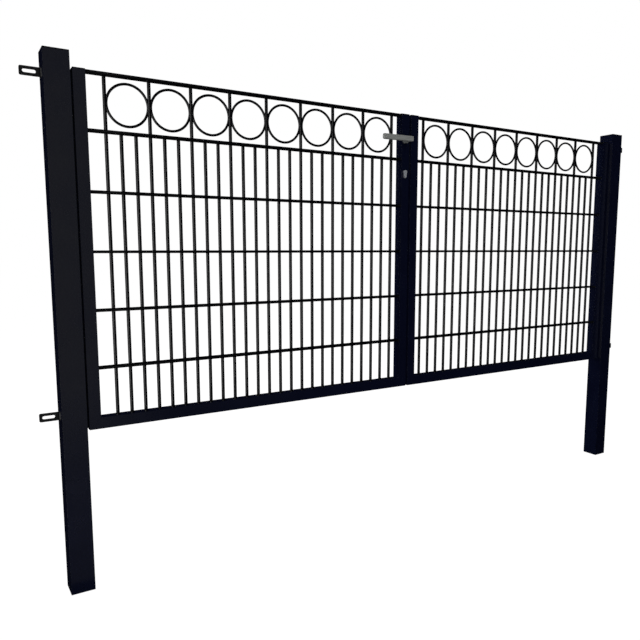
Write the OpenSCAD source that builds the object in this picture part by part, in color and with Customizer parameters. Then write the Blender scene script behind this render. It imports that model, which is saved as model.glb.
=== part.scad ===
// Double-leaf driveway gate of welded, powder-coated steel.
// Two square posts carry two U-shaped tube frames. Each frame is filled
// with a mat of round rods: upright rods between double cross rods, and a
// row of rings under the top rods. X runs along the gate, -Y is the lock
// side that faces the driveway, Z is up. The origin is the middle of the
// left post's foot.

/* [Posts] */
// Distance between the post centres
post_pitch = 2880; // [2780:10:3080]
// Side of the square post tube
post_w = 80; // [70:1:100]
// Height of a post with its cap
post_h = 1820; // [1800:5:2100]
// Wall of the post tube, and of the plate that closes its foot
post_wall = 3; // [2:0.5:5]
// Rounding of the post tube's edges
post_r = 1.5; // [1:0.5:8]
// Thickness of a post cap
post_cap_t = 4; // [2:0.5:8]

/* [Fence lugs] */
// How far a lug stands out from the post
lug_l = 65; // [60:1:80]
// Height of a lug
lug_h = 29; // [22:1:34]
// Thickness of a lug
lug_t = 5; // [4:0.5:8]
// Length of the slot in a lug
slot_l = 40; // [30:1:45]
// Width of the slot in a lug
slot_w = 11; // [9:0.5:14]
// Distance from the slot's end to the lug's tip
slot_tip = 9.5; // [5:0.5:12]
// Height of the lower lug's middle above the foot
lug_low_z = 631; // [600:0.5:700]
// Height of the upper lug's middle above the foot
lug_high_z = 1747.5; // [1700:0.5:1760]

/* [Leaf frames] */
// Gap between a post and its leaf
hinge_gap = 10; // [8:0.5:14]
// Gap between the two leaves
centre_gap = 11; // [10:0.5:14]
// Side of the square frame tube
tube_w = 40; // [35:1:50]
// Wall of the frame tube
tube_wall = 2; // [1.5:0.5:3]
// Rounding of the frame tube's edges
tube_r = 1; // [1:0.5:5]
// Height of the leaf's lower edge above the foot
leaf_z = 571; // [560:1:580]
// Height of the leaf's upper edge above the foot
leaf_top = 1775; // [1775:1:1785]
// Thickness of a stile cap
stile_cap_t = 3; // [2:0.5:5]

/* [Rod mat] */
// Pitch of the upright rods
rod_pitch = 50; // [50:1:50]
// Number of upright rods in a leaf
rod_n = 25; // [25:3:25]
// Distance from the hinge stile to the first upright rod's middle
rod_first = 61.5; // [55:0.5:65]
// Thickness of an upright rod
rod_d = 12.5; // [8:0.5:12.5]
// Thickness of a cross rod
cross_d = 10; // [7:0.5:10]
// Thickness of the top cross rods
top_d = 10; // [8:0.5:10]
// Height of the lowest cross rods
row_low_z = 783; // [770:1:790]
// Pitch of the cross rods
row_pitch = 200; // [195:1:200]
// Height of the top cross rods
row_top_z = 1769.5; // [1769:0.1:1770]
// How far a cross rod is pressed into the upright rods at a weld
weld_sink = 0.5; // [0.3:0.1:1]

/* [Rings] */
// Radius of a ring's middle line
ring_r = 70; // [66:0.5:70]
// Thickness of a ring's bar
ring_d = 9; // [6:0.5:9]
// Height of the rings' middle
ring_z = 1676.5; // [1674:0.5:1680]
// How far the rings sit behind the middle of the rods
ring_y = 0; // [0:0.5:4]

/* [Hinges] */
// Distance of the hinge axis from the post
axis_out = 14; // [14:0.5:16]
// Distance of the hinge axis behind the leaf frame
axis_back = 14.5; // [14.5:0.5:18]
// Radius of a hinge pin
pin_r = 5; // [4:0.25:5.5]
// Play between a hinge pin and its eye
pin_play = 0.06; // [0.03:0.01:0.1]
// Outer radius of a hinge eye
eye_r = 9; // [8:0.5:9]
// Height of a hinge eye
eye_h = 32; // [24:1:40]
// Thickness of the pin's carrier plate
carrier_t = 10; // [8:1:14]
// Thickness of the strap on the stile
strap_t = 5; // [4:0.5:6]
// Height of the strap on the stile
strap_h = 64; // [50:2:90]
// Height of the lower eye's underside above the foot
hinge_low_z = 700; // [660:5:760]
// Height of the upper eye's underside above the foot
hinge_high_z = 1620; // [1560:5:1660]

/* [Lock and handle] */
// Distance from the stile's lock edge to the axis of the lever and lock
lock_backset = 23.5; // [20:0.5:25]
// Height of the lever's axis above the foot
lever_z = 1664; // [1650:0.5:1680]
// Length of the lever bar
lever_l = 160; // [120:1:170]
// Height of the lever bar at its axis
lever_h = 22; // [20:0.5:26]
// Thickness of the lever bar
lever_t = 10; // [8:0.5:14]
// Distance from the stile to the back of the lever bar
lever_off = 35; // [32:1:45]
// Height of the lever bar at its tip
lever_tip_h = 23; // [20:0.5:26]
// How far the lever hangs down at its tip
lever_droop = 1.5; // [0:0.5:4]
// Distance from the lever's axis to its blunt end
lever_end = 12.5; // [11:0.5:13]
// Radius of the lever's neck
neck_r = 9; // [8:0.5:9.5]
// Radius of the rosette under the lever
rosette_r = 14; // [13:0.5:15]
// Thickness of the rosette
rosette_t = 13; // [3:0.5:16]
// Height of the lock cylinder's key plug above the foot
cylinder_z = 1527; // [1510:1:1540]
// How far the lock cylinder stands out of the stile
cylinder_out = 9; // [3:0.5:10]
// Thickness of the lock's face plate and of its strike plate
plate_t = 1.5; // [1:0.25:1.75]

/* [Drop bolt] */
// Radius of the bolt rod
bolt_r = 7; // [5:0.5:8]
// Length of the bolt rod
bolt_l = 420; // [350:10:500]
// Distance of the bolt rod's middle behind the leaf frame
bolt_back = 14; // [12:0.5:16]

/* [Hidden] */
$fn = 48;

coat = [0.075, 0.080, 0.105];
steel = [0.42, 0.43, 0.43];
black = [0.05, 0.05, 0.06];

leaf_x0 = post_w / 2 + hinge_gap;                    // hinge edge of the left leaf
leaf_x1 = post_pitch / 2 - centre_gap / 2;           // lock edge of the left leaf
mat_x0 = leaf_x0 + tube_w;                           // mat ends on the hinge stile
mat_x1 = leaf_x1 - tube_w;                           // mat ends on the lock stile
rail_top = leaf_z + tube_w;
cross_y = rod_d / 2 + cross_d / 2 - weld_sink;       // middle of a cross rod
top_y = rod_d / 2 + top_d / 2 - weld_sink;
rod_x0 = leaf_x0 + tube_w + rod_first;               // first upright rod
row_ring_z = row_low_z + 4 * row_pitch;              // cross rods under the rings
axis_x = post_w / 2 + axis_out;
axis_y = tube_w / 2 + axis_back;
lever_x = leaf_x1 - lock_backset;                    // axis of the lever and lock
stile_x = leaf_x1 - tube_w / 2;                      // middle of the lock stile

// The right half of the gate is the left half mirrored
module on_right() { translate([post_pitch, 0, 0]) mirror([1, 0, 0]) children(); }

// Square with round corners
module rsquare(w, r) {
  square([w - 2 * r, w], center = true);
  square([w, w - 2 * r], center = true);
  for (sx = [-1, 1], sy = [-1, 1]) translate([sx * (w / 2 - r), sy * (w / 2 - r)]) circle(r = r);
}

// Square tube along Z
module tube(w, wall, r, h) {
  linear_extrude(height = h) difference() { rsquare(w, r); rsquare(w - 2 * wall, max(0.5, r - wall)); }
}

// Eight-sided rod along Z, measured across its flats
module rod(d, h) { rotate([0, 0, 22.5]) cylinder(d = d / cos(22.5), h = h, $fn = 8); }

// Rod along X
module rod_x(d, l) { rotate([0, 90, 0]) rod(d, l); }

module post() {
  difference() {
    linear_extrude(height = post_h - post_cap_t) rsquare(post_w, post_r);
    translate([0, 0, post_wall]) linear_extrude(height = post_h) rsquare(post_w - 2 * post_wall, max(0.5, post_r - post_wall));
  }
}
module post_cap() {
  translate([0, 0, post_h - post_cap_t]) linear_extrude(height = post_cap_t) rsquare(post_w, post_r);
}

// Flat lug with a slot, standing out to -X
module lug(z) {
  c = 5;
  translate([-post_w / 2, 0, z]) rotate([90, 0, 0]) translate([0, 0, -lug_t / 2])
    linear_extrude(height = lug_t) difference() {
      union() {
        translate([-lug_l + c, -lug_h / 2]) square([lug_l - c, lug_h]);
        translate([-lug_l, -lug_h / 2 + c]) square([lug_l, lug_h - 2 * c]);
        for (s = [-1, 1]) translate([-lug_l + c, s * (lug_h / 2 - c)]) circle(r = c);
      }
      translate([-lug_l + slot_tip + slot_w / 2, -slot_w / 2]) square([slot_l - slot_w, slot_w]);
      for (x = [slot_w / 2, slot_l - slot_w / 2]) translate([-lug_l + slot_tip + x, 0]) circle(r = slot_w / 2);
    }
}

// Carrier plate on the post with an upright pin
module hinge_pin(z) {
  translate([0, 0, z - 0.5 - carrier_t]) {
    linear_extrude(height = carrier_t) {
      translate([post_w / 2, axis_y - eye_r]) square([axis_out, 2 * eye_r]);
      translate([axis_x, axis_y]) circle(r = eye_r);
    }
    translate([axis_x, axis_y, 0]) cylinder(r = pin_r, h = carrier_t + 0.5 + eye_h + 3);
  }
}

// Strap on the stile's rear face with an eye that turns on the pin
module hinge_eye(z) {
  difference() {
    union() {
      translate([axis_x, axis_y, z]) cylinder(r = eye_r, h = eye_h);
      translate([axis_x - 2.5, tube_w / 2, z]) cube([eye_r + 2.5, axis_back, eye_h]);
      translate([leaf_x0 + 1, tube_w / 2, z]) cube([25, strap_t, strap_h]);
    }
    translate([axis_x, axis_y, z - 1]) cylinder(r = pin_r + pin_play, h = eye_h + 2);
  }
}

// Stile with its lower end cut to a mitre that rises to the side s
module stile(x, s) {
  difference() {
    translate([x + tube_w / 2, 0, leaf_z]) tube(tube_w, tube_wall, tube_r, leaf_top - stile_cap_t - leaf_z);
    translate([x + tube_w / 2, 0, leaf_z + tube_w / 2]) rotate([0, s * 45, 0])
      translate([-2 * tube_w, -tube_w, -2 * tube_w]) cube([4 * tube_w, 2 * tube_w, 2 * tube_w]);
  }
}
module stile_cap(x) {
  translate([x + tube_w / 2, 0, leaf_top - stile_cap_t]) linear_extrude(height = stile_cap_t) rsquare(tube_w, tube_r);
}
module bottom_rail() {
  difference() {
    translate([leaf_x0, 0, leaf_z + tube_w / 2]) rotate([0, 90, 0]) tube(tube_w, tube_wall, tube_r, leaf_x1 - leaf_x0);
    translate([leaf_x0 + tube_w / 2, 0, leaf_z + tube_w / 2]) rotate([0, -45, 0])
      translate([-2 * tube_w, -tube_w, 0]) cube([4 * tube_w, 2 * tube_w, 2 * tube_w]);
    translate([leaf_x1 - tube_w / 2, 0, leaf_z + tube_w / 2]) rotate([0, 45, 0])
      translate([-2 * tube_w, -tube_w, 0]) cube([4 * tube_w, 2 * tube_w, 2 * tube_w]);
  }
}

// Upright rods on the rail, every third one up to the top, and double cross rods
module rod_mat() {
  union() {
    for (i = [0 : rod_n - 1])
      translate([rod_x0 + i * rod_pitch, 0, rail_top])
        rod(rod_d, (i % 3 == 0 ? row_top_z + top_d / 2 - 1 : row_ring_z + cross_d / 2 - 1) - rail_top);
    for (k = [0 : 4], s = [-1, 1])
      translate([mat_x0, s * cross_y, row_low_z + k * row_pitch]) rod_x(cross_d, mat_x1 - mat_x0);
    for (s = [-1, 1])
      translate([mat_x0, s * top_y, row_top_z]) rod_x(top_d, mat_x1 - mat_x0);
  }
}
module ring_row() {
  for (i = [0 : (rod_n - 1) / 3 - 1])
    translate([rod_x0 + (i + 0.5) * 3 * rod_pitch, ring_y, ring_z]) rotate([90, 0, 0])
      rotate_extrude() translate([ring_r, 0]) circle(d = ring_d, $fn = 24);
}

// Long plate on the lock edge, with round ends
module edge_plate(x, l) {
  translate([x, 0, 1600]) rotate([90, 0, 90]) linear_extrude(height = plate_t) {
    square([22, l - 22], center = true);
    for (s = [-1, 1]) translate([0, s * (l - 22) / 2]) circle(r = 11);
  }
}

// Profile of a lock cylinder: a round key plug over a narrow foot
module cylinder_profile() {
  circle(r = 8.5);
  translate([-5, -19.5]) square([10, 19.5]);
  translate([0, -19.5]) circle(r = 5);
}

module left_post() { color(coat) post(); }
module left_post_cap() { color(black) post_cap(); }
module left_upper_lug() { color(coat) lug(lug_high_z); }
module left_lower_lug() { color(coat) lug(lug_low_z); }
module left_upper_hinge_pin() { color(coat) hinge_pin(hinge_high_z); }
module left_lower_hinge_pin() { color(coat) hinge_pin(hinge_low_z); }
module right_post() { color(coat) on_right() post(); }
module right_post_cap() { color(black) on_right() post_cap(); }
module right_upper_lug() { color(coat) on_right() lug(lug_high_z); }
module right_lower_lug() { color(coat) on_right() lug(lug_low_z); }
module right_upper_hinge_pin() { color(coat) on_right() hinge_pin(hinge_high_z); }
module right_lower_hinge_pin() { color(coat) on_right() hinge_pin(hinge_low_z); }

module left_hinge_stile() { color(coat) stile(leaf_x0, -1); }
module left_lock_stile() { color(coat) stile(leaf_x1 - tube_w, 1); }
module left_bottom_rail() { color(coat) bottom_rail(); }
module left_rod_mat() { color(coat) rod_mat(); }
module left_ring_row() { color(coat) ring_row(); }
module left_hinge_stile_cap() { color(black) stile_cap(leaf_x0); }
module left_lock_stile_cap() { color(black) stile_cap(leaf_x1 - tube_w); }
module left_upper_hinge_eye() { color(coat) hinge_eye(hinge_high_z); }
module left_lower_hinge_eye() { color(coat) hinge_eye(hinge_low_z); }

module right_hinge_stile() { color(coat) on_right() stile(leaf_x0, -1); }
module right_lock_stile() { color(coat) on_right() stile(leaf_x1 - tube_w, 1); }
module right_bottom_rail() { color(coat) on_right() bottom_rail(); }
module right_rod_mat() { color(coat) on_right() rod_mat(); }
module right_ring_row() { color(coat) on_right() ring_row(); }
module right_hinge_stile_cap() { color(black) on_right() stile_cap(leaf_x0); }
module right_lock_stile_cap() { color(black) on_right() stile_cap(leaf_x1 - tube_w); }
module right_upper_hinge_eye() { color(coat) on_right() hinge_eye(hinge_high_z); }
module right_lower_hinge_eye() { color(coat) on_right() hinge_eye(hinge_low_z); }

module lock_face_plate() { color(steel) edge_plate(leaf_x1, 240); }
module strike_plate() { color(steel) on_right() edge_plate(leaf_x1, 200); }

// The two ends of the lock cylinder, in front of the stile and behind it
module lock_cylinder() {
  color(steel) {
    translate([lever_x, -tube_w / 2, cylinder_z]) rotate([90, 0, 0]) linear_extrude(height = cylinder_out) cylinder_profile();
    translate([lever_x, tube_w / 2 + cylinder_out, cylinder_z]) rotate([90, 0, 0]) linear_extrude(height = cylinder_out) cylinder_profile();
  }
}
module handle_rosette() {
  color(steel) translate([lever_x, -tube_w / 2, lever_z]) rotate([90, 0, 0]) difference() {
    cylinder(r = rosette_r, h = rosette_t);
    translate([0, 0, -1]) cylinder(r = neck_r - 1 + pin_play, h = rosette_t + 2);
  }
}
module handle_neck() {
  color(steel) translate([lever_x, -tube_w / 2, lever_z]) rotate([90, 0, 0]) {
    translate([0, 0, 0.5]) cylinder(r = neck_r - 1, h = rosette_t);
    translate([0, 0, rosette_t + 0.5]) cylinder(r = neck_r, h = lever_off - rosette_t - 0.5);
  }
}
// Outline of the lever seen from the front: a flat bar that hangs down a little to a rounded tip
module lever_front() {
  c = 6;
  h = lever_h / 2;
  t = lever_tip_h / 2;
  polygon([[0, -h], [0, h], [-lever_l + c, t - lever_droop], [-lever_l + c, -t - lever_droop]]);
  translate([-lever_l, -t - lever_droop + c]) square([2 * c, lever_tip_h - 2 * c]);
  for (s = [-1, 1]) translate([-lever_l + c, s * (t - c) - lever_droop]) circle(r = c);
}
module handle_lever() {
  color(steel) translate([lever_x + lever_end, -tube_w / 2 - lever_off, lever_z])
    rotate([90, 0, 0]) linear_extrude(height = lever_t) lever_front();
}

// Bolt rod in its raised place behind the right leaf's lock stile
module drop_bolt() {
  color(steel) on_right() translate([stile_x, tube_w / 2 + bolt_back, leaf_z + 9]) {
    cylinder(r = bolt_r, h = bolt_l);
    translate([0, bolt_r - 2, bolt_l - 60]) rotate([-90, 0, 0]) cylinder(r = 5, h = 30);
  }
}
module drop_bolt_guides() {
  color(coat) on_right() for (z = [leaf_z + 40, leaf_z + 250])
    translate([stile_x, tube_w / 2, z]) difference() {
      translate([-12, 0, 0]) cube([24, bolt_back + bolt_r + 4, 30]);
      translate([0, bolt_back, -1]) cylinder(r = bolt_r + 0.4, h = 32);
    }
}

left_post();
left_post_cap();
left_upper_lug();
left_lower_lug();
left_upper_hinge_pin();
left_lower_hinge_pin();
right_post();
right_post_cap();
right_upper_lug();
right_lower_lug();
right_upper_hinge_pin();
right_lower_hinge_pin();
left_hinge_stile();
left_lock_stile();
left_bottom_rail();
left_rod_mat();
left_ring_row();
left_hinge_stile_cap();
left_lock_stile_cap();
left_upper_hinge_eye();
left_lower_hinge_eye();
lock_face_plate();
lock_cylinder();
handle_rosette();
right_hinge_stile();
right_lock_stile();
right_bottom_rail();
right_rod_mat();
right_ring_row();
right_hinge_stile_cap();
right_lock_stile_cap();
right_upper_hinge_eye();
right_lower_hinge_eye();
strike_plate();
drop_bolt();
drop_bolt_guides();
handle_lever();
handle_neck();
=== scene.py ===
import bpy
import bmesh
import math
import random
from mathutils import Matrix, Vector


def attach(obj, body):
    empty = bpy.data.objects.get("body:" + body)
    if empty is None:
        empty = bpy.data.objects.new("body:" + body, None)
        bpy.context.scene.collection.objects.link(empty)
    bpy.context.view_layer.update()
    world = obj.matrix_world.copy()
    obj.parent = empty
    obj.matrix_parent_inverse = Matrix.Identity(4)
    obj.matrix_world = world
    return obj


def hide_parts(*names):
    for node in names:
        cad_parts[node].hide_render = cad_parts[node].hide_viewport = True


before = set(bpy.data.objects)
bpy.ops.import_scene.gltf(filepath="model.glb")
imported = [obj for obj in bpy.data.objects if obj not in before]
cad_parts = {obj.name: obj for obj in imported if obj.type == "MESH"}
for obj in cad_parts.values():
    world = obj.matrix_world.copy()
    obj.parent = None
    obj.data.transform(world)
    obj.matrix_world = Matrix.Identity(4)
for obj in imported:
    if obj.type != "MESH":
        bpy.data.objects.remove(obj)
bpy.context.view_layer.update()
scene = bpy.context.scene

# ------------------------------------------------------------------ sizes, mm
PITCH = 2880.0              # between the post centres
POST_W, POST_R, POST_TOP, POST_H = 80.0, 0.25, 1816.0, 1820.0
TUBE, TUBE_R = 40.0, 0.2
X0, X1 = 50.0, 1434.5       # left leaf, hinge edge and lock edge
Z0, Z_TUBE, Z_TOP = 571.0, 1772.0, 1775.0
RAIL = Z0 + TUBE
MAT0, MAT1 = X0 + TUBE, X1 - TUBE
ROD_X = [151.5 + 50.0 * i for i in range(25)]
ROD_R, CROSS_R, TOP_R = 6.25, 5.0, 5.0
CROSS_Y, TOP_Y = 10.75, 10.75
ROWS = [783.0, 983.0, 1183.0, 1383.0, 1583.0]
ROW_TOP = 1769.5
RING_R, RING_B, RING_Y, RING_Z = 70.0, 4.5, 0.0, 1676.5
AXIS_X, AXIS_Y = 54.0, 34.5
HINGES = {"upper": 1620.0, "lower": 700.0}
LUGS = {"upper": 1747.5, "lower": 631.0}
LOCK_X = 1411.0             # axis of the lever and of the lock cylinder
LEVER_Z, CYL_Z = 1664.0, 1527.0


# ------------------------------------------------------------- mesh builders
def ident(a, b, c):
    return (a, b, c)


def along_x(a, b, c):
    """Outline in (y, z), length along x."""
    return (c, a, b)


def along_y(a, b, c):
    """Outline in (x, z), depth along y."""
    return (a, c, b)


def mirrored(part):
    v, f = part
    return [(PITCH - x, y, z) for x, y, z in v], [tuple(reversed(q)) for q in f]


def rrect(w, h, r, n=6, cx=0.0, cy=0.0):
    pts = []
    for sx, sy, a0 in ((1, 1, 0), (-1, 1, 90), (-1, -1, 180), (1, -1, 270)):
        for k in range(n + 1):
            a = math.radians(a0 + 90.0 * k / n)
            pts.append((cx + sx * (w / 2 - r) + r * math.cos(a), cy + sy * (h / 2 - r) + r * math.sin(a)))
    return pts


def circle(r, n, cx=0.0, cy=0.0):
    return [(cx + r * math.cos(2 * math.pi * k / n), cy + r * math.sin(2 * math.pi * k / n)) for k in range(n)]


def inset(pts, d):
    """Outline moved inwards by d, point by point along the mean of the two edge normals."""
    out, n = [], len(pts)
    for i in range(n):
        ax, ay = pts[i - 1]
        bx, by = pts[i]
        cx, cy = pts[(i + 1) % n]
        e1, e2 = Vector((bx - ax, by - ay)), Vector((cx - bx, cy - by))
        if e1.length < 1e-9:
            e1 = e2
        if e2.length < 1e-9:
            e2 = e1
        n1, n2 = Vector((-e1.y, e1.x)).normalized(), Vector((-e2.y, e2.x)).normalized()
        m = (n1 + n2).normalized()
        k = d / max(0.5, m.dot(n1))
        out.append((bx + m.x * k, by + m.y * k))
    return out


def loft(rings, caps=True):
    n = len(rings[0])
    v = [p for r in rings for p in r]
    f = []
    for k in range(len(rings) - 1):
        for i in range(n):
            j = (i + 1) % n
            f.append((k * n + i, k * n + j, (k + 1) * n + j, (k + 1) * n + i))
    if caps:
        f.append(tuple(range(n - 1, -1, -1)))
        f.append(tuple((len(rings) - 1) * n + i for i in range(n)))
    return v, f


def prism(outline, c0, c1, bev=0.6, seg=3, place=ident, bev0=None, bev1=None):
    """Outline pushed from c0 to c1 with round edges at both ends."""
    b0 = bev if bev0 is None else bev0
    b1 = bev if bev1 is None else bev1
    steps = []
    for k in range(seg + 1):
        a = math.pi / 2 * k / seg
        steps.append((b0 * (1 - math.sin(a)), c0 + b0 * (1 - math.cos(a))))
    for k in range(seg + 1):
        a = math.pi / 2 * (1 - k / seg)
        steps.append((b1 * (1 - math.sin(a)), c1 - b1 * (1 - math.cos(a))))
    rings = []
    for d, c in steps:
        o = outline if d < 1e-9 else inset(outline, d)
        rings.append([place(a, b, c) for a, b in o])
    return loft(rings)


def box(x0, x1, y0, y1, z0, z1, r=1.0, bev=0.6):
    return prism(rrect(x1 - x0, y1 - y0, r, 3, (x0 + x1) / 2, (y0 + y1) / 2), z0, z1, bev)


def polar(poly, angles, o):
    """Where rays from o at these angles leave the polygon."""
    out = []
    for a in angles:
        dx, dy = math.cos(a), math.sin(a)
        best = 0.0
        for i in range(len(poly)):
            px, py = poly[i][0] - o[0], poly[i][1] - o[1]
            qx, qy = poly[(i + 1) % len(poly)][0] - o[0], poly[(i + 1) % len(poly)][1] - o[1]
            ex, ey = qx - px, qy - py
            den = dx * ey - dy * ex
            if abs(den) < 1e-12:
                continue
            t = (px * ey - py * ex) / den
            s = (px * dy - py * dx) / den
            if t > 0 and -1e-9 <= s <= 1 + 1e-9:
                best = max(best, t)
        out.append((o[0] + dx * best, o[1] + dy * best))
    return out


def holed(outer, inner, o, c0, c1, bev=0.5, place=ident, n=72):
    """Plate from c0 to c1 with one hole, both loops seen from o, with round rims."""
    ang = sorted(set(round(a % (2 * math.pi), 6) for a in
                     [2 * math.pi * k / n for k in range(n)]
                     + [math.atan2(p[1] - o[1], p[0] - o[0]) for p in outer]
                     + [math.atan2(p[1] - o[1], p[0] - o[0]) for p in inner]))
    keep = [ang[0]]
    for a in ang[1:]:
        if a - keep[-1] > 0.004:
            keep.append(a)
    po, pi = polar(outer, keep, o), polar(inner, keep, o)
    m = len(keep)
    loops = []
    for k in range(4):
        a = math.pi / 2 * k / 3
        loops.append((inset(po, bev * (1 - math.sin(a))), c0 + bev * (1 - math.cos(a))))
    for k in range(4):
        a = math.pi / 2 * (1 - k / 3)
        loops.append((inset(po, bev * (1 - math.sin(a))), c1 - bev * (1 - math.cos(a))))
    for k in range(4):
        a = math.pi / 2 * k / 3
        loops.append((inset(pi, -bev * (1 - math.sin(a))), c1 - bev * (1 - math.cos(a))))
    for k in range(4):
        a = math.pi / 2 * (1 - k / 3)
        loops.append((inset(pi, -bev * (1 - math.sin(a))), c0 + bev * (1 - math.cos(a))))
    v = [place(a, b, c) for pts, c in loops for a, b in pts]
    f = []
    for k in range(len(loops)):
        kk = (k + 1) % len(loops)
        for i in range(m):
            j = (i + 1) % m
            f.append((k * m + i, k * m + j, kk * m + j, kk * m + i))
    return v, f


def rod(p, q, r, n=18, bev=0.8, seg=2, rings=2):
    """Round bar from p to q with softly rounded ends."""
    p, q = Vector(p), Vector(q)
    t = (q - p).normalized()
    side = Vector((0, 0, 1)) if abs(t.z) < 0.9 else Vector((0, -1, 0))
    u = side.cross(t).normalized()
    w = t.cross(u)
    length = (q - p).length
    steps = []
    for k in range(seg + 1):
        a = math.pi / 2 * k / seg
        steps.append((r - bev * (1 - math.sin(a)), bev * (1 - math.cos(a))))
    for k in range(1, rings):
        steps.append((r, bev + (length - 2 * bev) * k / rings))
    for k in range(seg + 1):
        a = math.pi / 2 * (1 - k / seg)
        steps.append((r - bev * (1 - math.sin(a)), length - bev * (1 - math.cos(a))))
    out = []
    for rr, s in steps:
        out.append([tuple(p + t * s + (u * math.cos(2 * math.pi * i / n) + w * math.sin(2 * math.pi * i / n)) * rr) for i in range(n)])
    return loft(out)


def lathe(profile, centre, n=40, closed=False):
    """Profile of (radius, y) turned about a line along y through centre (x, z)."""
    rings = []
    for r, y in profile:
        rings.append([(centre[0] + r * math.cos(2 * math.pi * i / n), y, centre[1] + r * math.sin(2 * math.pi * i / n)) for i in range(n)])
    if not closed:
        return loft(rings)
    v, f = loft(rings, False)
    k, m = len(rings) - 1, n
    for i in range(m):
        j = (i + 1) % m
        f.append((k * m + i, k * m + j, j, i))
    return v, f


def lathe_z(profile, centre, n=40, closed=False):
    v, f = lathe(profile, (0.0, 0.0), n, closed)
    return [(centre[0] + x, centre[1] + z, y) for x, y, z in v], f


def torus(centre, r_big, r_small, n=84, m=16):
    v, f = [], []
    for i in range(n):
        a = 2 * math.pi * i / n
        for k in range(m):
            b = 2 * math.pi * k / m
            rr = r_big + r_small * math.cos(b)
            v.append((centre[0] + rr * math.cos(a), centre[1] + r_small * math.sin(b), centre[2] + rr * math.sin(a)))
    for i in range(n):
        ii = (i + 1) % n
        for k in range(m):
            kk = (k + 1) % m
            f.append((i * m + k, ii * m + k, ii * m + kk, i * m + kk))
    return v, f


def nugget(centre, semi, rnd, n=12, m=7, rough=0.10):
    """Small uneven lump of weld metal."""
    v, f = [], []
    ph = [rnd.uniform(0, 6.28) for _ in range(4)]
    v.append((centre[0], centre[1], centre[2] - semi[2]))
    for j in range(1, m):
        t = math.pi * j / m
        for i in range(n):
            a = 2 * math.pi * i / n
            k = 1 + rough * (0.6 * math.sin(2 * a + ph[0]) + 0.5 * math.sin(3 * a + 2 * t + ph[1]) + 0.5 * math.sin(3 * t + ph[2]))
            v.append((centre[0] + semi[0] * k * math.sin(t) * math.cos(a),
                      centre[1] + semi[1] * k * math.sin(t) * math.sin(a),
                      centre[2] - semi[2] * k * math.cos(t)))
    v.append((centre[0], centre[1], centre[2] + semi[2]))
    last = len(v) - 1
    for i in range(n):
        ii = (i + 1) % n
        f.append((0, 1 + ii, 1 + i))
        for j in range(m - 2):
            f.append((1 + j * n + i, 1 + j * n + ii, 1 + (j + 1) * n + ii, 1 + (j + 1) * n + i))
        f.append((1 + (m - 2) * n + i, 1 + (m - 2) * n + ii, last))
    return v, f


def bead_ring(centre, axis, r_big, r_small, rnd, n=32, m=8):
    """Rippled weld bead round a bar that stands on a face."""
    v, f = [], []
    ph, lumps = rnd.uniform(0, 6.28), rnd.choice((7, 8, 9))
    for i in range(n):
        a = 2 * math.pi * i / n
        rs = r_small * (1 + 0.13 * math.sin(lumps * a + ph) + 0.07 * math.sin(2 * a + 2.1 * ph))
        for k in range(m):
            b = 2 * math.pi * k / m
            rr, h = r_big + rs * math.cos(b), rs * 0.9 * math.sin(b)
            c, s = rr * math.cos(a), rr * math.sin(a)
            if axis == "z":
                v.append((centre[0] + c, centre[1] + s, centre[2] + h))
            else:
                v.append((centre[0] + h, centre[1] + c, centre[2] + s))
    for i in range(n):
        ii = (i + 1) % n
        for k in range(m):
            kk = (k + 1) % m
            f.append((i * m + k, ii * m + k, ii * m + kk, i * m + kk))
    return v, f


def bead_line(p, q, r, rnd, m=8, pitch=3.4, step=0.85):
    """Rippled weld bead along a straight corner."""
    p, q = Vector(p), Vector(q)
    t = (q - p).normalized()
    side = Vector((0, 0, 1)) if abs(t.z) < 0.9 else Vector((0, -1, 0))
    u = side.cross(t).normalized()
    w = t.cross(u)
    length = (q - p).length
    n = max(8, int(length / step))
    ph = rnd.uniform(0, 6.28)
    rings = []
    for i in range(n + 1):
        s = length * i / n
        end = min(s, length - s)
        k = 1.0 if end >= r else math.sqrt(max(0.02, 1 - (1 - end / r) ** 2))
        rr = r * k * (1 + 0.11 * math.sin(2 * math.pi * s / pitch + ph) + 0.05 * math.sin(2 * math.pi * s / (pitch * 3.3) + 2 * ph))
        rings.append([tuple(p + t * s + (u * math.cos(2 * math.pi * j / m) + w * math.sin(2 * math.pi * j / m)) * rr) for j in range(m)])
    return loft(rings)


def piece(name, parts, body, slot, mat, *nodes, sharp=38.0, even=True):
    """Joins the parts into one object that rides on a body and stands for the CAD nodes."""
    verts, faces = [], []
    for v, f in parts:
        k = len(verts)
        verts.extend((x * 0.001, y * 0.001, z * 0.001) for x, y, z in v)
        faces.extend(tuple(i + k for i in q) for q in f)
    me = bpy.data.meshes.new(name)
    me.from_pydata(verts, [], faces)
    bm = bmesh.new()
    bm.from_mesh(me)
    bmesh.ops.recalc_face_normals(bm, faces=bm.faces)
    bm.to_mesh(me)
    bm.free()
    me.polygons.foreach_set("use_smooth", [True] * len(me.polygons))
    me.set_sharp_from_angle(angle=math.radians(sharp))
    me.materials.append(mat)
    ob = bpy.data.objects.new(name, me)
    scene.collection.objects.link(ob)
    if even:
        w = ob.modifiers.new("even_normals", "WEIGHTED_NORMAL")
        w.mode = "FACE_AREA"
        w.weight = 50
        w.keep_sharp = True
    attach(ob, body)
    if nodes:
        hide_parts(*nodes)
    return ob


# ------------------------------------------------------------------ materials
def new_material(name):
    m = bpy.data.materials.new(name)
    m.use_nodes = True
    nt = m.node_tree
    nt.nodes.clear()
    out = nt.nodes.new("ShaderNodeOutputMaterial")
    bsdf = nt.nodes.new("ShaderNodeBsdfPrincipled")
    nt.links.new(bsdf.outputs["BSDF"], out.inputs["Surface"])
    tc = nt.nodes.new("ShaderNodeTexCoord")
    return m, nt, bsdf, tc


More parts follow.
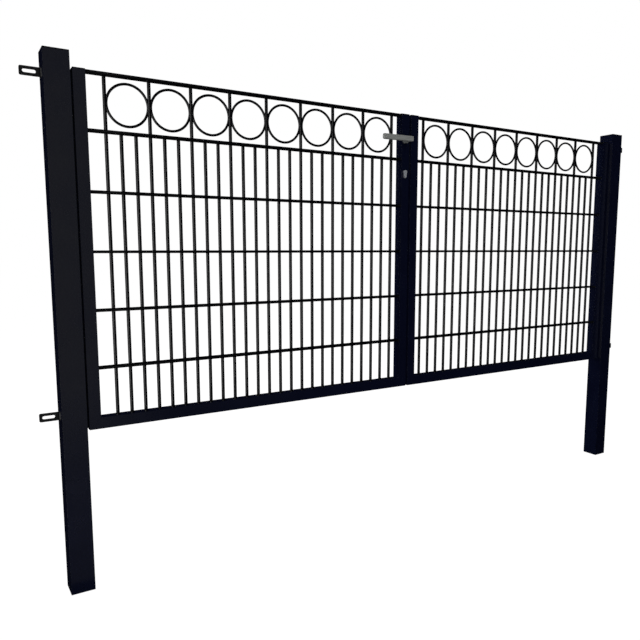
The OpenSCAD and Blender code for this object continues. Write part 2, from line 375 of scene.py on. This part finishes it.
def noise(nt, tc, scale, detail=3.0, rough=0.55, stretch=None):
    t = nt.nodes.new("ShaderNodeTexNoise")
    t.inputs["Scale"].default_value = scale
    t.inputs["Detail"].default_value = detail
    t.inputs["Roughness"].default_value = rough
    if stretch:
        mp = nt.nodes.new("ShaderNodeMapping")
        mp.inputs["Scale"].default_value = stretch
        nt.links.new(tc.outputs["Object"], mp.inputs["Vector"])
        nt.links.new(mp.outputs["Vector"], t.inputs["Vector"])
    else:
        nt.links.new(tc.outputs["Object"], t.inputs["Vector"])
    return t


def ramp(nt, src, stops):
    r = nt.nodes.new("ShaderNodeValToRGB")
    el = r.color_ramp.elements
    while len(el) < len(stops):
        el.new(0.5)
    for e, (p, c) in zip(el, stops):
        e.position = p
        e.color = (*c, 1.0)
    nt.links.new(src, r.inputs["Fac"])
    return r


def spread(nt, src, lo, hi):
    r = nt.nodes.new("ShaderNodeMapRange")
    r.inputs["From Min"].default_value = 0.3
    r.inputs["From Max"].default_value = 0.7
    r.inputs["To Min"].default_value = lo
    r.inputs["To Max"].default_value = hi
    nt.links.new(src, r.inputs["Value"])
    return r


def bump(nt, height, strength, distance, below=None):
    b = nt.nodes.new("ShaderNodeBump")
    b.inputs["Strength"].default_value = strength
    b.inputs["Distance"].default_value = distance
    nt.links.new(height, b.inputs["Height"])
    if below:
        nt.links.new(below.outputs["Normal"], b.inputs["Normal"])
    return b


def powder_coat(name, dark, mid, light, r0, r1):
    """Satin powder coat: faint clouding, fine pigment grain and orange peel."""
    m, nt, bsdf, tc = new_material(name)
    cloud = noise(nt, tc, 9.0, 4.0)
    grain = noise(nt, tc, 1500.0, 2.0, 0.6)
    mix = nt.nodes.new("ShaderNodeMix")
    mix.data_type = "FLOAT"
    mix.inputs[0].default_value = 0.4
    nt.links.new(cloud.outputs["Fac"], mix.inputs[2])
    nt.links.new(grain.outputs["Fac"], mix.inputs[3])
    col = ramp(nt, mix.outputs[0], [(0.32, dark), (0.5, mid), (0.68, light)])
    nt.links.new(col.outputs["Color"], bsdf.inputs["Base Color"])
    ro = spread(nt, cloud.outputs["Fac"], r0, r1)
    nt.links.new(ro.outputs["Result"], bsdf.inputs["Roughness"])
    peel = noise(nt, tc, 420.0, 2.0, 0.5)
    b1 = bump(nt, peel.outputs["Fac"], 0.10, 0.0004)
    b2 = bump(nt, grain.outputs["Fac"], 0.05, 0.0001, b1)
    nt.links.new(b2.outputs["Normal"], bsdf.inputs["Normal"])
    bsdf.inputs["IOR"].default_value = 1.5
    return m


def moulded(name, dark, light):
    """Matt moulded plastic with a fine eroded grain."""
    m, nt, bsdf, tc = new_material(name)
    n1 = noise(nt, tc, 900.0, 3.0, 0.65)
    n2 = noise(nt, tc, 30.0, 2.0)
    col = ramp(nt, n2.outputs["Fac"], [(0.35, dark), (0.65, light)])
    nt.links.new(col.outputs["Color"], bsdf.inputs["Base Color"])
    ro = spread(nt, n1.outputs["Fac"], 0.55, 0.72)
    nt.links.new(ro.outputs["Result"], bsdf.inputs["Roughness"])
    b = bump(nt, n1.outputs["Fac"], 0.18, 0.0002)
    nt.links.new(b.outputs["Normal"], bsdf.inputs["Normal"])
    return m


def satin_metal(name, dark, light, metallic, r0, r1, stretch, strength):
    """Satin metal with fine drawn lines along one direction."""
    m, nt, bsdf, tc = new_material(name)
    lines = noise(nt, tc, 1.0, 4.0, 0.6, stretch)
    cloud = noise(nt, tc, 55.0, 3.0)
    mix = nt.nodes.new("ShaderNodeMix")
    mix.data_type = "FLOAT"
    mix.inputs[0].default_value = 0.45
    nt.links.new(cloud.outputs["Fac"], mix.inputs[2])
    nt.links.new(lines.outputs["Fac"], mix.inputs[3])
    col = ramp(nt, mix.outputs[0], [(0.35, dark), (0.65, light)])
    nt.links.new(col.outputs["Color"], bsdf.inputs["Base Color"])
    ro = spread(nt, lines.outputs["Fac"], r0, r1)
    nt.links.new(ro.outputs["Result"], bsdf.inputs["Roughness"])
    b = bump(nt, lines.outputs["Fac"], strength, 0.0001)
    nt.links.new(b.outputs["Normal"], bsdf.inputs["Normal"])
    bsdf.inputs["Metallic"].default_value = metallic
    return m


COAT = powder_coat("powder_coat_blue_black", (0.0027, 0.0039, 0.0142), (0.0032, 0.0046, 0.0165), (0.0039, 0.0055, 0.0192), 0.22, 0.30)
BOLT = powder_coat("coated_bolt_steel", (0.0075, 0.0085, 0.0150), (0.0090, 0.0100, 0.0175), (0.0110, 0.0120, 0.0200), 0.34, 0.42)
CAP = moulded("cap_black_plastic", (0.0022, 0.0024, 0.0034), (0.0034, 0.0036, 0.0048))
# darker copy of the blue-black coat for rods, rings and lug plates: painted shade that keeps these thin parts black
# where the same coat would catch light
THIN_PARTS_SHADED_COAT = powder_coat("powder_coat_painted_shade_thin_parts", (0.0012, 0.0014, 0.0022), (0.0016, 0.0018, 0.0029), (0.0021, 0.0024, 0.0037), 0.22, 0.30)
GREY = satin_metal("handle_satin_grey", (0.32, 0.33, 0.316), (0.397, 0.406, 0.392), 0.25, 0.42, 0.55, (60.0, 2500.0, 2500.0), 0.10)
STEEL = satin_metal("lock_brushed_nickel", (0.42, 0.445, 0.48), (0.53, 0.56, 0.60), 0.30, 0.30, 0.45, (2500.0, 2500.0, 80.0), 0.10)
# flat dark grey standing in for the depth of each key slot: painted shade
KEYWAY_PAINTED_SHADE = moulded("keyway_shadow", (0.030, 0.031, 0.034), (0.045, 0.047, 0.050))


# ---------------------------------------------------------------- the posts
def sided(part, side):
    return part if side == "left" else mirrored(part)


def tube_ring(w, r, d, n, cx=0.0, cy=0.0):
    """Outline of a square tube, drawn in by d."""
    return rrect(w - 2 * d, w - 2 * d, max(0.05, r - d), n, cx, cy)


def make_post(side):
    rnd = random.Random(11 if side == "left" else 12)
    S = lambda p: sided(p, side)
    rings = []
    for d, z in ((0.8, 0.0), (0.234, 0.234), (0.0, 0.8), (0.0, POST_TOP - 0.5), (0.146, POST_TOP - 0.146), (0.5, POST_TOP)):
        rings.append([(a, b, z) for a, b in tube_ring(POST_W, POST_R, d, 4)])
    piece(side + "_post_tube", [S(loft(rings))],
          "posts", "powder_coat", COAT, side + "_post")
    # moulded cap: a lip as wide as the tube, round upper edge, shallow raised panel
    o = rrect(POST_W, POST_W, POST_R, 8)
    rings = []
    for d, z in ((0.5, 0.0), (0.0, 0.4), (0.0, 2.0), (0.25, 2.9), (0.9, 3.55), (1.8, 3.8), (6.0, 3.8), (7.0, 3.95), (8.0, 4.0), (20.0, 4.0)):
        ring = o if d == 0 else rrect(POST_W - 2 * d, POST_W - 2 * d, max(0.8, POST_R - d), 8)
        rings.append([(a, b, POST_TOP + z) for a, b in ring])
    piece(side + "_post_moulded_cap", [S(loft(rings))], "posts", "cap_plastic", CAP, side + "_post_cap")
    for where, z in LUGS.items():
        x0, x1, h = -40.0 - 65.0, -40.0, 14.5
        outer = [(x1, -h), (x1, h)]
        for k in range(7):
            a = math.radians(90 + 15 * k)
            outer.append((x0 + 5 + 5 * math.cos(a), h - 5 + 5 * math.sin(a)))
        for k in range(7):
            a = math.radians(180 + 15 * k)
            outer.append((x0 + 5 + 5 * math.cos(a), -h + 5 + 5 * math.sin(a)))
        inner = []
        for k in range(17):
            a = math.radians(-90 + 180.0 * k / 16)
            inner.append((x0 + 9.5 + 40 - 5.5 + 5.5 * math.cos(a), 5.5 * math.sin(a)))
        for k in range(17):
            a = math.radians(90 + 180.0 * k / 16)
            inner.append((x0 + 9.5 + 5.5 + 5.5 * math.cos(a), 5.5 * math.sin(a)))
        plate = holed(outer, inner, (x0 + 9.5 + 20, 0.0), -2.5, 2.5, 0.6, lambda a, b, c: (a, c, z + b), 96)
        welds = [bead_line((-40.3, s * 3.2, z - 14.0), (-40.3, s * 3.2, z + 14.0), 2.1, rnd) for s in (-1, 1)]
        welds += [bead_line((-40.3, -2.4, z + s * 15.1), (-40.3, 2.4, z + s * 15.1), 1.9, rnd) for s in (-1, 1)]
        # lug plates and their welds take the darker painted-shade copy of the coat
        piece("%s_%s_lug_plate" % (side, where), [S(plate)] + [S(w) for w in welds],
              "posts", "powder_coat", THIN_PARTS_SHADED_COAT, "%s_%s_lug" % (side, where))
    for where, z in HINGES.items():
        top = z - 0.5
        out = [(40.0, AXIS_Y - 9.0)]
        for k in range(25):
            a = math.radians(-90 + 180.0 * k / 24)
            out.append((AXIS_X + 9.0 * math.cos(a), AXIS_Y + 9.0 * math.sin(a)))
        out.append((40.0, AXIS_Y + 9.0))
        plate = prism(out, top - 10.0, top, 0.7)
        pin = lathe_z([(4.9, top - 2.0), (5.0, top - 1.0), (5.0, z + 33.0), (4.7, z + 34.2), (4.0, z + 34.8), (3.0, z + 35.0)], (AXIS_X, AXIS_Y), 32)
        collar = lathe_z([(5.0, top - 1.0), (7.6, top - 1.0), (7.6, top + 0.3), (7.3, top + 0.45), (5.0, top + 0.45)], (AXIS_X, AXIS_Y), 32, True)
        welds = [bead_line((40.3, AXIS_Y - 8.6, zz), (40.3, 37.0, zz), 1.9, rnd) for zz in (top + 0.5, top - 10.5)]
        welds.append(bead_line((40.3, AXIS_Y - 9.5, top - 9.8), (40.3, AXIS_Y - 9.5, top - 0.2), 1.9, rnd))
        piece("%s_%s_hinge_pin_bracket" % (side, where), [S(p) for p in [plate, pin, collar] + welds],
              "posts", "powder_coat", COAT, "%s_%s_hinge_pin" % (side, where))


for SIDE in ("left", "right"):
    make_post(SIDE)


# ---------------------------------------------------------------- the leaves
def stile(xa, rise):
    """Square tube, capped above, cut to a mitre below. rise = +1 where the mitre climbs with x."""
    rings = []
    for d, lift in ((0.55, 0.0), (0.15, 0.15), (0.0, 0.55)):
        q = tube_ring(TUBE, TUBE_R, d, 4, xa + TUBE / 2)
        rings.append([(a, b, Z0 + lift + ((a - xa) if rise > 0 else (xa + TUBE - a))) for a, b in q])
    for d, z in ((0.0, Z_TUBE - 0.4), (0.12, Z_TUBE - 0.12), (0.4, Z_TUBE)):
        q = tube_ring(TUBE, TUBE_R, d, 4, xa + TUBE / 2)
        rings.append([(a, b, z) for a, b in q])
    return loft(rings)


def bottom_rail():
    rings = []
    for d, lift in ((0.55, 0.0), (0.15, 0.15), (0.0, 0.55)):
        q = tube_ring(TUBE, TUBE_R, d, 4, 0.0, Z0 + TUBE / 2)
        rings.append([(X0 + lift + (b - Z0), a, b) for a, b in q])
    for d, lift in ((0.0, 0.55), (0.15, 0.15), (0.55, 0.0)):
        q = tube_ring(TUBE, TUBE_R, d, 4, 0.0, Z0 + TUBE / 2)
        rings.append([(X1 - lift - (b - Z0), a, b) for a, b in q])
    return loft(rings)


def stile_cap(xa):
    rings = []
    for d, z in ((0.4, 0.0), (0.0, 0.3), (0.0, 1.5), (0.2, 2.2), (0.7, 2.7), (1.5, 2.85), (4.0, 2.85), (4.8, 2.97), (5.6, 3.0), (12.0, 3.0)):
        ring = rrect(TUBE - 2 * d, TUBE - 2 * d, max(0.6, TUBE_R - d), 6, xa + TUBE / 2, 0.0)
        rings.append([(a, b, Z_TUBE + z) for a, b in ring])
    return loft(rings)


def make_leaf(side):
    rnd = random.Random(21 if side == "left" else 22)
    S = lambda p: sided(p, side)
    body = side + "_leaf"
    xl = X1 - TUBE
    hinge_welds = [bead_line((MAT0 + 0.3, -18.0, RAIL + 0.3), (MAT0 + 0.3, 18.0, RAIL + 0.3), 1.6, rnd)]
    lock_welds = [bead_line((MAT1 - 0.3, -18.0, RAIL + 0.3), (MAT1 - 0.3, 18.0, RAIL + 0.3), 1.6, rnd)]
    piece(side + "_hinge_stile_tube", [S(stile(X0, 1))] + [S(w) for w in hinge_welds], body, "powder_coat", COAT, side + "_hinge_stile")
    piece(side + "_lock_stile_tube", [S(stile(xl, -1))] + [S(w) for w in lock_welds], body, "powder_coat", COAT, side + "_lock_stile")
    piece(side + "_bottom_rail_tube", [S(bottom_rail())], body, "powder_coat", COAT, side + "_bottom_rail")
    piece(side + "_hinge_stile_moulded_cap", [S(stile_cap(X0))], body, "cap_plastic", CAP, side + "_hinge_stile_cap")
    piece(side + "_lock_stile_moulded_cap", [S(stile_cap(xl))], body, "cap_plastic", CAP, side + "_lock_stile_cap")

    # rod mat: uprights, double cross rods, double top rods, and the welds between them, in the darker painted-shade
    # copy of the coat
    parts, welds = [], []
    for i, x in enumerate(ROD_X):
        tall = i % 3 == 0
        parts.append(rod((x, 0, RAIL - 0.8), (x, 0, ROW_TOP + 4.0 if tall else ROWS[-1] + 3.5), ROD_R, 20, 1.2, 3))
        welds.append(bead_ring((x, 0, RAIL + 0.2), "z", ROD_R + 0.4, 1.7, rnd))
        for z in ROWS:
            for s in (-1, 1):
                welds.append(nugget((x, s * (ROD_R - 0.25), z), (ROD_R + 0.3, 2.3, CROSS_R + 0.7), rnd))
        if tall:
            for s in (-1, 1):
                welds.append(nugget((x, s * (ROD_R - 0.25), ROW_TOP), (ROD_R + 0.3, 2.3, 4.6), rnd))
    for z in ROWS:
        for s in (-1, 1):
            parts.append(rod((MAT0 - 0.8, s * CROSS_Y, z), (MAT1 + 0.8, s * CROSS_Y, z), CROSS_R, 18, 0.6, 2, 12))
            for x in (MAT0 + 0.1, MAT1 - 0.1):
                welds.append(bead_ring((x, s * CROSS_Y, z), "x", CROSS_R + 0.3, 1.4, rnd))
    for s in (-1, 1):
        parts.append(rod((MAT0 - 0.8, s * TOP_Y, ROW_TOP), (MAT1 + 0.8, s * TOP_Y, ROW_TOP), TOP_R, 18, 0.6, 2, 12))
        for x in (MAT0 + 0.1, MAT1 - 0.1):
            welds.append(bead_ring((x, s * TOP_Y, ROW_TOP), "x", TOP_R + 0.3, 1.3, rnd))
    piece(side + "_rod_mat_welded", [S(p) for p in parts + welds], body, "powder_coat", THIN_PARTS_SHADED_COAT, side + "_rod_mat", even=False)

    # row of rings, each welded to the upright rods on its two sides, in the darker painted-shade copy of the coat
    parts = []
    for i in range(8):
        cx = ROD_X[0] + 75.0 + 150.0 * i
        parts.append(torus((cx, RING_Y, RING_Z), RING_R, RING_B))
        for s in (-1, 1):
            for t in (-1, 1):
                parts.append(nugget((cx + s * 70.3, t * 4.2, RING_Z), (1.3, 1.3, 6.0), rnd))
    piece(side + "_ring_row_welded", [S(p) for p in parts], body, "powder_coat", THIN_PARTS_SHADED_COAT, side + "_ring_row", even=False)

    # hinge eyes behind the hinge stile
    for where, z in HINGES.items():
        barrel = lathe_z([(5.06, z + 0.5), (5.5, z), (8.4, z), (8.83, z + 0.17), (9.0, z + 0.6),
                          (9.0, z + 31.4), (8.83, z + 31.83), (8.4, z + 32.0), (5.5, z + 32.0), (5.06, z + 31.5)], (AXIS_X, AXIS_Y), 40, True)
        web = box(51.5, 61.6, 22.0, 28.8, z + 0.4, z + 31.6, 0.8, 0.5)
        strap = box(X0 + 1.0, X0 + 26.0, 20.0, 25.0, z, z + 64.0, 1.0, 0.8)
        w = [bead_line((X0 + 26.5, 20.4, z + 3.0), (X0 + 26.5, 20.4, z + 61.0), 1.9, rnd),
             bead_line((X0 + 3.0, 20.4, z + 64.5), (X0 + 24.0, 20.4, z + 64.5), 1.9, rnd),
             bead_line((X0 + 3.0, 20.4, z - 0.5), (X0 + 24.0, 20.4, z - 0.5), 1.9, rnd),
             bead_line((62.0, 25.6, z + 2.0), (62.0, 25.6, z + 30.0), 1.5, rnd)]
        piece("%s_%s_hinge_eye_strap" % (side, where), [S(p) for p in [barrel, web, strap] + w],
              body, "powder_coat", COAT, "%s_%s_hinge_eye" % (side, where))


for SIDE in ("left", "right"):
    make_leaf(SIDE)


# ------------------------------------------------------- lock, handle and bolt
def stadium(w, h, n=12, cy=0.0):
    """Upright outline with round ends, in (y, z)."""
    r = w / 2
    return ([(r * math.cos(math.pi * k / n), cy + h / 2 - r + r * math.sin(math.pi * k / n)) for k in range(n + 1)]
            + [(-r * math.cos(math.pi * k / n), cy - h / 2 + r - r * math.sin(math.pi * k / n)) for k in range(n + 1)])


def screw(y, z, face, out):
    """Countersunk head with a slot, on a plate whose face is at x = face and points to out."""
    place = lambda a, b, c: (face + out * c, y + a, z + b)
    return holed(circle(4.2, 28), rrect(5.4, 1.1, 0.3, 2), (0.0, 0.0), -0.4, 0.45, 0.25, place, 48)


def euro(n=40):
    """Outline of a profile cylinder in (x, z): round key plug over a narrow foot."""
    a0 = math.asin(5.0 / 8.5)
    pts = []
    for k in range(n + 1):
        a = -math.pi / 2 + a0 + (2 * math.pi - 2 * a0) * k / n
        pts.append((8.5 * math.cos(a), 8.5 * math.sin(a)))
    for k in range(15):
        a = math.pi + math.pi * k / 14
        pts.append((5.0 * math.cos(a), -19.5 + 5.0 * math.sin(a)))
    return pts


parts = [prism(stadium(22.0, 240.0, 14, 1600.0), X1, X1 + 1.5, 0.35, 2, along_x)]
parts += [screw(0.0, z, X1 + 1.5, 1) for z in (1493.0, 1707.0)]
parts.append(prism(rrect(11.0, 19.0, 1.2, 3, 0.0, LEVER_Z), X1 + 0.5, X1 + 2.6, 0.7, 3, along_x))
parts.append(prism(rrect(10.0, 24.0, 1.0, 3, 0.0, CYL_Z + 52.0), X1 + 0.5, X1 + 2.1, 0.4, 2, along_x))
piece("lock_front_with_latch", parts, "left_leaf", "bolt_steel", BOLT, "lock_face_plate")

parts = []
for face, d in ((-20.0, -1), (20.0, 1)):
    place = lambda a, b, c, face=face, d=d: (LOCK_X + a, face + d * c, CYL_Z + b)
    parts.append(prism(euro(), -0.3, 9.0, 0.7, 3, place, bev0=0.01))
    parts.append(holed(circle(6.4, 40), rrect(1.5, 7.6, 0.4, 2), (0.0, 0.0), 8.6, 9.9, 0.3, place, 64))
piece("lock_profile_cylinder", parts, "left_leaf", "lock_steel", STEEL, "lock_cylinder")
# dark plates sunk in the key slots of both cylinder faces: painted shade for the slot depth
parts = []
for face, d in ((-20.0, -1), (20.0, 1)):
    place = lambda a, b, c, face=face, d=d: (LOCK_X + a, face + d * c, CYL_Z + b)
    parts.append(prism(rrect(2.4, 8.8, 0.6, 2), 8.5, 9.15, 0.05, 2, place))
piece("lock_keyway_painted_shade", parts, "left_leaf", "lock_steel", KEYWAY_PAINTED_SHADE)

piece("handle_round_rosette", [lathe([(8.2, -20.0), (14.0, -20.0), (14.0, -31.0), (13.7, -32.1), (13.0, -32.8), (12.0, -33.0), (8.6, -33.0), (8.2, -32.7)],
                                     (LOCK_X, LEVER_Z), 48, True)], "left_leaf", "handle_metal", GREY, "handle_rosette")
piece("handle_turned_neck", [lathe([(7.6, -20.5), (8.0, -20.8), (8.0, -33.3), (8.7, -33.5), (9.0, -33.9), (9.0, -47.0), (9.2, -50.0), (9.7, -52.6), (10.2, -54.4), (10.2, -56.5)],
                                   (LOCK_X, LEVER_Z), 40)], "handle", "handle_metal", GREY, "handle_neck")


def section(y0, y1, z0, z1, radii, n=6):
    """Outline in (y, z) with a radius of its own at each corner: back top, front top, front low, back low."""
    pts = []
    lim = 0.47 * min(y1 - y0, z1 - z0)
    for (y, z, sy, sz, a0), r in zip(((y1, z1, -1, -1, 0), (y0, z1, 1, -1, 90), (y0, z0, 1, 1, 180), (y1, z0, -1, 1, 270)), radii):
        r = min(r, lim)
        for k in range(n + 1):
            a = math.radians(a0 + 90.0 * k / n)
            pts.append((y + sy * r + r * math.cos(a), z + sz * r + r * math.sin(a)))
    return pts


def lever():
    """Flat bar with soft edges that hangs down a little to a rounded tip."""
    h, tip, droop, length = 11.0, 11.5, 1.5, 160.0
    right = LOCK_X + 12.5
    stops = [0.0, 0.15, 0.5, 1.0, 1.6, 4.0]
    stops += [4.0 + (length - 12.0) * k / 36 for k in range(1, 37)]
    stops += [length - d for d in (6.6, 5.4, 4.2, 3.1, 2.2, 1.4, 0.8, 0.35, 0.08, 0.0)]
    rings = []
    for s in stops:
        rest = length - s
        y0, y1 = -65.0, -55.0
        k = min(1.0, s / (length - 6.0))
        z0, z1 = -h - (tip - h) * k - droop * k, h + (tip - h) * k - droop * k
        if s < 1.6:
            k = 1.6 - math.sqrt(max(0.0, 1.6 ** 2 - (1.6 - s) ** 2))
            y0, y1, z0, z1 = y0 + k, y1 - k, z0 + k, z1 - k
        if rest < 7.0:
            k = 7.0 - math.sqrt(max(0.0, 49.0 - (7.0 - rest) ** 2))
            z0, z1 = z0 + k, z1 - k
        if rest < 3.5:
            k = 3.5 - math.sqrt(max(0.0, 3.5 ** 2 - (3.5 - rest) ** 2))
            y0, y1 = y0 + k, y1 - k
        rings.append([(right - s, y, LEVER_Z + z) for y, z in section(y0, y1, z0, z1, (3.0, 2.0, 4.5, 3.0))])
    return loft(rings)


piece("handle_flat_lever", [lever()], "handle", "handle_metal", GREY, "handle_lever")

# strike plate on the right leaf, with the latch opening
face = PITCH - X1
strike = holed(stadium(22.0, 200.0, 14, 1600.0), rrect(12.5, 25.0, 1.0, 3, 0.0, LEVER_Z), (0.0, LEVER_Z), face - 1.5, face, 0.35, along_x, 96)
parts = [strike] + [screw(0.0, z, face - 1.5, -1) for z in (1512.0, 1688.0)]
piece("strike_plate_with_opening", parts, "right_leaf", "bolt_steel", BOLT, "strike_plate")

BX, BY = PITCH - (X1 - TUBE / 2), 34.0
bolt = lathe_z([(3.0, 580.0), (5.2, 580.6), (6.5, 582.2), (7.0, 585.0), (7.0, 996.0), (6.7, 998.2), (5.8, 999.5), (4.5, 1000.0)], (BX, BY), 32)
peg = lathe([(4.7, 38.5), (5.0, 39.2), (5.0, 66.5), (4.6, 68.2), (3.6, 69.0)], (BX, 940.0), 28)
peg_bead = lathe([(5.0, 40.2), (7.0, 40.2), (6.4, 41.8), (5.0, 42.6)], (BX, 940.0), 28, True)
piece("drop_bolt_rod", [bolt, peg, peg_bead], "right_leaf", "bolt_steel", BOLT, "drop_bolt")
rnd = random.Random(31)
parts = []
for z in (Z0 + 40.0, Z0 + 250.0):
    out = [(BX - 12.0, 20.0), (BX + 12.0, 20.0)]
    for k in range(13):
        a = math.radians(180.0 * k / 12)
        out.append((BX + (12.0 if k == 0 else 11.0 * math.cos(a) + (1.0 if math.cos(a) > 0 else -1.0) * abs(math.cos(a))), BY + 11.0 * math.sin(a)))
    parts.append(holed(out, circle(7.4, 36, BX, BY), (BX, BY), z, z + 30.0, 0.7, ident, 72))
    for s in (-1, 1):
        parts.append(bead_line((BX + s * 12.3, 20.4, z + 1.5), (BX + s * 12.3, 20.4, z + 28.5), 1.8, rnd))
piece("drop_bolt_guide_brackets", parts, "right_leaf", "powder_coat", COAT, "drop_bolt_guides")


# ---------------------------------------------------------------------- stage
me = bpy.data.meshes.new("studio_floor")
bm = bmesh.new()
bmesh.ops.create_grid(bm, x_segments=4, y_segments=4, size=60.0)
bm.to_mesh(me)
bm.free()
floor = bpy.data.objects.new("studio_floor", me)
floor.location = (1.44, 0.0, -0.0005)
scene.collection.objects.link(floor)
m = bpy.data.materials.new("studio_floor_white")
m.use_nodes = True
nt = m.node_tree
nt.nodes.clear()
out = nt.nodes.new("ShaderNodeOutputMaterial")
add = nt.nodes.new("ShaderNodeAddShader")
emi = nt.nodes.new("ShaderNodeEmission")
dif = nt.nodes.new("ShaderNodeBsdfDiffuse")
emi.inputs["Color"].default_value = (1.0, 1.0, 1.0, 1.0)
emi.inputs["Strength"].default_value = 1.0
dif.inputs["Color"].default_value = (0.05, 0.05, 0.05, 1.0)
nt.links.new(emi.outputs[0], add.inputs[0])
nt.links.new(dif.outputs[0], add.inputs[1])
nt.links.new(add.outputs[0], out.inputs["Surface"])
me.materials.append(m)
floor.visible_diffuse = False
floor.visible_glossy = False
floor.visible_shadow = False

world = bpy.data.worlds.new("studio")
scene.world = world
world.use_nodes = True
nt = world.node_tree
nt.nodes.clear()
out = nt.nodes.new("ShaderNodeOutputWorld")
mix = nt.nodes.new("ShaderNodeMixShader")
path = nt.nodes.new("ShaderNodeLightPath")
dim = nt.nodes.new("ShaderNodeBackground")
white = nt.nodes.new("ShaderNodeBackground")
dim.inputs["Color"].default_value = (0.9, 0.95, 1.0, 1.0)
dim.inputs["Strength"].default_value = 0.003
white.inputs["Color"].default_value = (1.0, 1.0, 1.0, 1.0)
white.inputs["Strength"].default_value = 1.0
nt.links.new(path.outputs["Is Camera Ray"], mix.inputs[0])
nt.links.new(dim.outputs[0], mix.inputs[1])
nt.links.new(white.outputs[0], mix.inputs[2])
nt.links.new(mix.outputs[0], out.inputs["Surface"])


def softbox(name, pos, aim, w, h, radiance, sheen=True, soft=True):
    data = bpy.data.lights.new(name, "AREA")
    data.shape = "RECTANGLE"
    data.size, data.size_y = w, h
    data.energy = radiance * math.pi * w * h
    ob = bpy.data.objects.new(name, data)
    ob.location = pos
    ob.rotation_euler = (Vector(aim) - Vector(pos)).to_track_quat("-Z", "Y").to_euler()
    ob.visible_camera = False
    ob.visible_glossy = sheen
    ob.visible_diffuse = soft
    scene.collection.objects.link(ob)
    return ob


# key light: a tall softbox to the left, level with the gate, that only shows as sheen on the coat
softbox("key_left", (-2.76, -2.13, 1.0), (0.69, 0.17, 1.0), 2.2, 5.0, 2.9, soft=False)
softbox("fill_front", (0.41, -2.95, 1.4), (0.05, 0.0, 1.4), 0.72, 3.2, 0.31)
softbox("fill_side", (1.65, -2.95, 1.4), (1.4, 0.0, 1.4), 1.5, 3.2, 0.06)
softbox("floor_card", (0.2, -1.55, 0.01), (0.2, -1.55, 1.0), 1.0, 2.9, 0.08)
softbox("front_low", (0.2, -4.0, 1.3), (1.3, 0.0, 1.6), 2.0, 1.5, 1.3, sheen=False)
softbox("side_soft", (-0.02, -2.5, 1.3), (1.0, -2.5, 1.3), 2.5, 3.0, 1.8, sheen=False)
softbox("front_soft", (0.9, -4.4, 5.6), (1.44, 0.0, 1.1), 5.0, 4.0, 1.6, sheen=False)
softbox("rear_right", (4.6, 2.6, 1.9), (1.5, 0.0, 1.1), 1.6, 2.4, 0.5, sheen=False)
softbox("overhead", (1.44, 0.6, 4.6), (1.44, 0.0, 0.9), 3.4, 1.2, 0.08)
# soft light on the back and on both ends
softbox("back_soft", (1.44, 4.6, 2.2), (1.44, 0.0, 1.0), 6.0, 3.6, 4.0, sheen=False)
softbox("right_soft", (6.4, 1.0, 1.9), (2.9, 0.0, 1.0), 2.6, 3.0, 4.0, sheen=False)
softbox("left_soft", (-3.5, 1.0, 1.9), (0.0, 0.0, 1.0), 2.6, 3.0, 3.0, sheen=False)
# small fills in front of the left post's foot and of the right post
softbox("foot_soft", (-0.15, -0.5, 0.2), (0.0, 0.0, 0.2), 0.3, 0.4, 1.85, sheen=False)
softbox("right_front", (3.3, -1.2, 1.1), (2.88, 0.0, 1.0), 0.6, 1.8, 0.7, sheen=False)

# --------------------------------------------------------------------- camera
cam = bpy.data.cameras.new("camera")
cam.sensor_fit = "HORIZONTAL"
cam.sensor_width = 36.0
cam.lens = 35.569
cam.shift_x = -0.01292
cam.shift_y = 0.01649
cam.clip_end = 200.0
ob = bpy.data.objects.new("camera", cam)
R = Vector((0.850767667, -0.525541975, 0.0000931))
U = Vector((0.0666224, 0.1080266, 0.9919132))
F = Vector((0.5213021, 0.8438814, -0.1269184))
rot = Matrix((R, U, -F)).transposed()
ob.matrix_world = Matrix.Translation((-0.36515986, -2.25925195, 1.19039891)) @ rot.to_4x4()
scene.collection.objects.link(ob)
scene.camera = ob

scene.view_settings.view_transform = "Standard"
scene.view_settings.look = "None"
scene.view_settings.exposure = 0.0
scene.view_settings.gamma = 1.0

bpy.context.view_layer.update()
